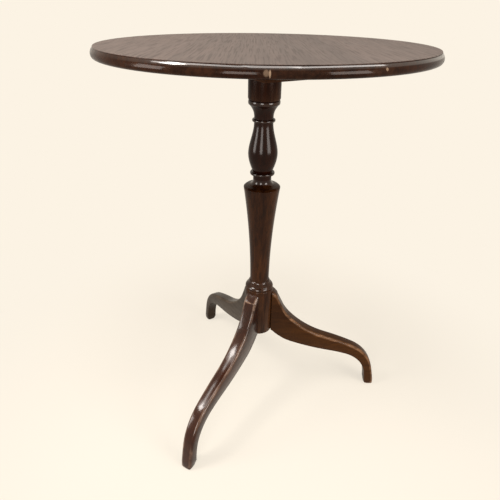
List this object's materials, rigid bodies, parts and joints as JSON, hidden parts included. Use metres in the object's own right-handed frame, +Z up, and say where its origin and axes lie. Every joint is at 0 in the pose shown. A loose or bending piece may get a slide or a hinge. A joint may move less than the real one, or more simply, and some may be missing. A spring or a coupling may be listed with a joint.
{
  "type": "wine table",
  "caption": "Round tilt-top wine table: moulded-edge top hinged on a block, turned vase column and swept tripod legs in dark polished mahogany.",
  "frame": {"origin": "on the column's axis at floor level", "axes": "+Z up along the column, +X along one leg, the back leg 120 degrees round towards +Y"},
  "size_m": [0.529, 0.52, 0.712],
  "materials": {
    "mahogany": "dark French polish, glossy",
    "brass": "aged, satin"
  },
  "bodies": {
    "stand": {"column": "mahogany", "leg_right": "mahogany", "leg_back": "mahogany", "leg_front": "mahogany", "pivot_block": "mahogany", "tenon_wedge": "mahogany", "strike_plate": "brass"},
    "top": {"table_top": "mahogany", "bearer_near": "mahogany", "bearer_far": "mahogany", "catch_plate": "brass"},
    "catch": {"catch_bolt": "brass", "catch_knob": "brass"}
  },
  "joints": [
    {"name": "top_tilt", "type": "hinge", "parent": "stand", "child": "top", "pos_m": [0.02675, -0.04633, 0.6842], "axis": [0.866, 0.5, 0], "range_deg": [0, 90]},
    {"name": "catch_slide", "type": "slide", "parent": "top", "child": "catch", "axis": [0.5, -0.866, 0], "range_m": [0, 0.007]}
  ]
}
